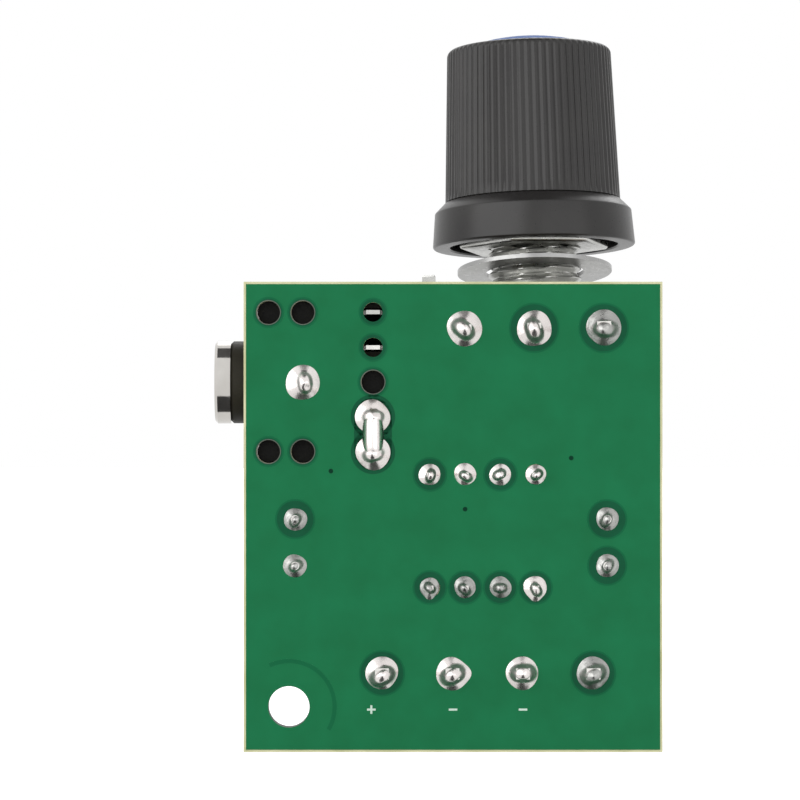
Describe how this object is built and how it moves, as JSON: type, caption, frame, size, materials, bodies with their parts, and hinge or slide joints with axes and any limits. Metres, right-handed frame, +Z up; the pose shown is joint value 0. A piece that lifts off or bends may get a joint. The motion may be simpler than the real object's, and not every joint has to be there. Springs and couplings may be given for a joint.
{
  "type": "audio amplifier board",
  "caption": "Small audio amplifier board with a leaning rotary volume control and knob, an audio jack, capacitors, an amplifier chip and screw terminals.",
  "frame": {"origin": "centre of the mounting hole on the solder face", "axes": "+X along the board's width, +Y from the solder face to the component side, +Z up the board towards the knob"},
  "size_m": [0.0325, 0.0229, 0.0528],
  "materials": {
    "board": "green solder mask over glass fibre laminate",
    "solder": "bright tin solder",
    "pot_metal": "nickel plated steel",
    "wafer": "brown phenolic sheet",
    "contact": "tin plated strip",
    "shaft": "turned aluminium",
    "rotor": "moulded",
    "wiper": "spring brass",
    "knob": "satin moulded",
    "knob_cap": "moulded",
    "jack_plastic": "moulded",
    "nickel": "polished nickel",
    "chip_plastic": "fine moulded grain",
    "can_metal": "drawn aluminium",
    "cap_sleeve": "shrunk film",
    "bung": "moulded",
    "terminal_plastic": "moulded",
    "screw_metal": "zinc plated",
    "smd_ceramic": "ceramic",
    "smd_resistor": "glass coated"
  },
  "bodies": {
    "board": {"circuit_board": "board", "solder_pot": "solder", "solder_terminals": "solder", "solder_chip": "solder", "solder_capacitors": "solder", "solder_jack": "solder", "pot_front_plate": "pot_metal", "pot_cover": "pot_metal", "pot_washer": "pot_metal", "pot_nut": "pot_metal", "pot_wafer": "wafer", "pot_terminals": "contact", "jack_sleeve_contact": "contact", "jack_tip_contact": "contact", "jack_ring_contact": "contact", "jack_tip_switch": "contact", "jack_ring_switch": "contact", "chip_leads": "contact", "supply_cap_leads": "contact", "output_cap_leads": "contact", "power_terminal_pins": "contact", "speaker_terminal_pins": "contact", "jack_body": "jack_plastic", "jack_bushing": "nickel", "amplifier_chip": "chip_plastic", "supply_cap_can": "can_metal", "output_cap_can": "can_metal", "supply_cap_sleeve": "cap_sleeve", "output_cap_sleeve": "cap_sleeve", "supply_cap_bung": "bung", "output_cap_bung": "bung", "power_terminal_housing": "terminal_plastic", "speaker_terminal_housing": "terminal_plastic", "gain_capacitor": "smd_ceramic", "bypass_capacitor": "smd_ceramic", "snubber_capacitor": "smd_ceramic", "snubber_resistor": "smd_resistor"},
    "knob": {"knob_body": "knob", "knob_cap": "knob_cap", "pot_shaft": "shaft", "pot_rotor": "rotor", "pot_wiper": "wiper", "pot_shaft_clip": "pot_metal"},
    "screw_1": {"terminal_screw_1": "screw_metal"},
    "cage_1": {"wire_cage_1": "screw_metal"},
    "screw_2": {"terminal_screw_2": "screw_metal"},
    "cage_2": {"wire_cage_2": "screw_metal"},
    "screw_3": {"terminal_screw_3": "screw_metal"},
    "cage_3": {"wire_cage_3": "screw_metal"},
    "screw_4": {"terminal_screw_4": "screw_metal"},
    "cage_4": {"wire_cage_4": "screw_metal"}
  },
  "joints": [
    {"name": "knob_turn", "type": "hinge", "parent": "board", "child": "knob", "pos_m": [0.01825, 0.01325, 0.02628], "axis": [-0.0244, 0.0871, 0.9959], "range_deg": [-150, 150]},
    {"name": "screw_1_turn", "type": "hinge", "parent": "board", "child": "screw_1", "pos_m": [0.00672, 0.008, 0.00242], "axis": [0, -1, 0], "range_deg": [0, 1520]},
    {"name": "cage_1_lift", "type": "slide", "parent": "board", "child": "cage_1", "axis": [0, 1, 0], "range_m": [0, 0.0019]},
    {"name": "screw_2_turn", "type": "hinge", "parent": "board", "child": "screw_2", "pos_m": [0.0118, 0.008, 0.00242], "axis": [0, -1, 0], "range_deg": [0, 1520]},
    {"name": "cage_2_lift", "type": "slide", "parent": "board", "child": "cage_2", "axis": [0, 1, 0], "range_m": [0, 0.0019]},
    {"name": "screw_3_turn", "type": "hinge", "parent": "board", "child": "screw_3", "pos_m": [0.01688, 0.008, 0.00242], "axis": [0, -1, 0], "range_deg": [0, 1520]},
    {"name": "cage_3_lift", "type": "slide", "parent": "board", "child": "cage_3", "axis": [0, 1, 0], "range_m": [0, 0.0019]},
    {"name": "screw_4_turn", "type": "hinge", "parent": "board", "child": "screw_4", "pos_m": [0.02196, 0.008, 0.00242], "axis": [0, -1, 0], "range_deg": [0, 1520]},
    {"name": "cage_4_lift", "type": "slide", "parent": "board", "child": "cage_4", "axis": [0, 1, 0], "range_m": [0, 0.0019]}
  ],
  "couplings": [
    {"joint": "screw_1_turn", "follows": "cage_1_lift", "rad_per_m": 13962},
    {"joint": "screw_2_turn", "follows": "cage_2_lift", "rad_per_m": 13962},
    {"joint": "screw_3_turn", "follows": "cage_3_lift", "rad_per_m": 13962},
    {"joint": "screw_4_turn", "follows": "cage_4_lift", "rad_per_m": 13962}
  ]
}
